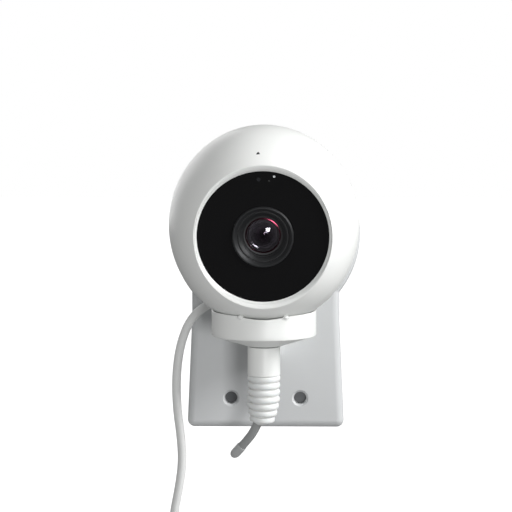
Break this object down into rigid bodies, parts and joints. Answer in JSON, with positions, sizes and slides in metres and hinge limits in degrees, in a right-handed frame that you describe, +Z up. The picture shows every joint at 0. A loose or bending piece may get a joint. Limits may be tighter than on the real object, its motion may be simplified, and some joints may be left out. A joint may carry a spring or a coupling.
{
  "type": "baby monitor camera",
  "caption": "Round-headed baby monitor camera on a wall plate; the head pans in a collar and tilts, with a probe lead below and a power cord at the side.",
  "frame": {"origin": "centre of the four wall-screw holes, on the back face of the wall plate", "axes": "+Y points into the wall, the camera looks along -Y, +Z is up the wall, +X is to the right as the camera is faced"},
  "size_m": [0.0884, 0.0836, 0.271],
  "materials": {
    "plate_plastic": "fine moulded texture, pale grey",
    "white_plastic": "satin moulded white plastic",
    "soft_white": "soft white elastomer",
    "zinc_steel": "zinc plated",
    "dark_plastic": "black moulded plastic",
    "wire_sheath": "wire insulation",
    "grey_cable": "grey cable sheath",
    "probe_rubber": "grey moulded probe cap",
    "white_cable": "white cable sheath",
    "tie_strap": "woven hook and loop strap",
    "plug_steel": "nickel plated sheet steel",
    "dark_rubber": "black rubber",
    "dark_window": "small tinted window",
    "sensor_window": "tinted sensor window",
    "status_lens": "clear light pipe",
    "black_gloss": "polished black acrylic",
    "circuit_board": "green solder mask",
    "led_resin": "dark tinted resin",
    "barrel_black": "black anodised and stepped against stray light",
    "coated_glass": "polished, magenta anti-reflection coating",
    "sensor_silicon": "image sensor package",
    "brass_pillar": "turned brass",
    "magnet_steel": "plated magnet cup",
    "cone_paper": "pressed paper cone"
  },
  "bodies": {
    "mount": {"arm_screws": "zinc_steel", "bracket_arm": "plate_plastic", "cord_coil": "white_cable", "cord_gland": "soft_white", "cord_tail": "white_cable", "cord_tie": "tie_strap", "pan_nut": "zinc_steel", "pan_stop_plate": "zinc_steel", "pan_washer": "dark_plastic", "power_cord": "white_cable", "probe_lead": "grey_cable", "probe_strain_relief": "soft_white", "probe_tip": "probe_rubber", "stem": "white_plastic", "stem_wires": "wire_sheath", "usb_plug_body": "white_plastic", "usb_plug_shell": "plug_steel", "usb_plug_tongue": "dark_plastic", "wall_plate": "plate_plastic", "wave_washer": "zinc_steel"},
    "collar": {"collar": "white_plastic", "collar_base": "white_plastic", "pan_stop_pin": "zinc_steel", "tilt_post": "dark_plastic", "post_screws": "zinc_steel", "tilt_axle": "zinc_steel", "axle_clips": "zinc_steel", "friction_washers": "dark_rubber", "dust_shield": "dark_plastic"},
    "head": {"front_shell": "white_plastic", "rear_shell": "white_plastic", "status_mark": "dark_window", "speaker_grille": "white_plastic", "bezel_ring": "white_plastic", "light_sensor": "sensor_window", "microphone": "dark_rubber", "status_led": "status_lens", "face_panel": "black_gloss", "led_board": "circuit_board", "ir_leds": "led_resin", "lens_barrel": "barrel_black", "front_lens": "coated_glass", "lens_retainer": "barrel_black", "rear_lens": "coated_glass", "lens_holder": "barrel_black", "ir_filter_glass": "coated_glass", "image_sensor": "sensor_silicon", "camera_board": "circuit_board", "board_pillars": "brass_pillar", "board_screws": "zinc_steel", "inner_frame": "dark_plastic", "frame_screws": "zinc_steel", "main_board": "circuit_board", "antenna": "circuit_board", "speaker_magnet": "magnet_steel", "speaker_frame": "dark_plastic", "speaker_cone": "cone_paper", "pair_switch": "dark_plastic"},
    "button": {"pair_button": "soft_white"}
  },
  "joints": [
    {"name": "head_pan", "type": "hinge", "parent": "mount", "child": "collar", "pos_m": [0, -0.052, 0.006], "axis": [0, 0, 1], "range_deg": [-95, 95]},
    {"name": "head_tilt", "type": "hinge", "parent": "collar", "child": "head", "pos_m": [0, -0.052, 0.053], "axis": [1, 0, 0], "range_deg": [-21.5, 8.5]},
    {"name": "pair_press", "type": "slide", "parent": "head", "child": "button", "axis": [0, -0.9936, -0.1132], "range_m": [0, 0.0008], "stiffness_N_per_m": 400, "springref_m": -0.0008}
  ]
}
